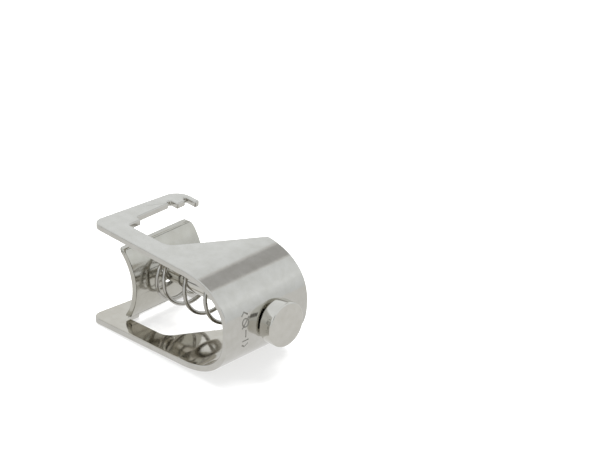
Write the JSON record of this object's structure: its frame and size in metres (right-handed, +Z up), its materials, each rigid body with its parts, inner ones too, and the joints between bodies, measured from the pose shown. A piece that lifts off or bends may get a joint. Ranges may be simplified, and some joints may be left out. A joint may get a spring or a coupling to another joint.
{
  "type": "cable shield clamp",
  "caption": "Spring-loaded shield clamp: bent sheet body that hooks over a flat busbar, with a sprung curved saddle and a pull-button plunger.",
  "frame": {"origin": "middle of the overall box in X and Y, on the surface that the lower crossbar stands on", "axes": "+X from the open hook end to the pull button, +Y from the arms to the open side of the crossbars, +Z up, from the lower leg to the upper"},
  "size_m": [0.0449, 0.024, 0.0242],
  "materials": {
    "body_plating": "bright nickel plating over bent steel sheet",
    "plunger_plating": "bright nickel plating over turned steel",
    "saddle_plating": "nickel plating, slightly satin",
    "spring_wire": "bright drawn spring wire"
  },
  "bodies": {
    "body": {"clamp_body": "body_plating", "compression_spring": "spring_wire"},
    "saddle": {"pressure_saddle": "saddle_plating"},
    "plunger": {"plunger": "plunger_plating"}
  },
  "joints": [
    {"name": "saddle_slide", "type": "slide", "parent": "body", "child": "saddle", "axis": [0.999, 0, 0.0436], "range_m": [0, 0.016], "stiffness_N_per_m": 1400, "springref_m": -0.0075, "deforming": ["compression_spring"]},
    {"name": "plunger_turn", "type": "hinge", "parent": "saddle", "child": "plunger", "pos_m": [0.01875, 0.002, 0.01201], "axis": [0.999, 0, 0.0436], "continuous": true}
  ]
}
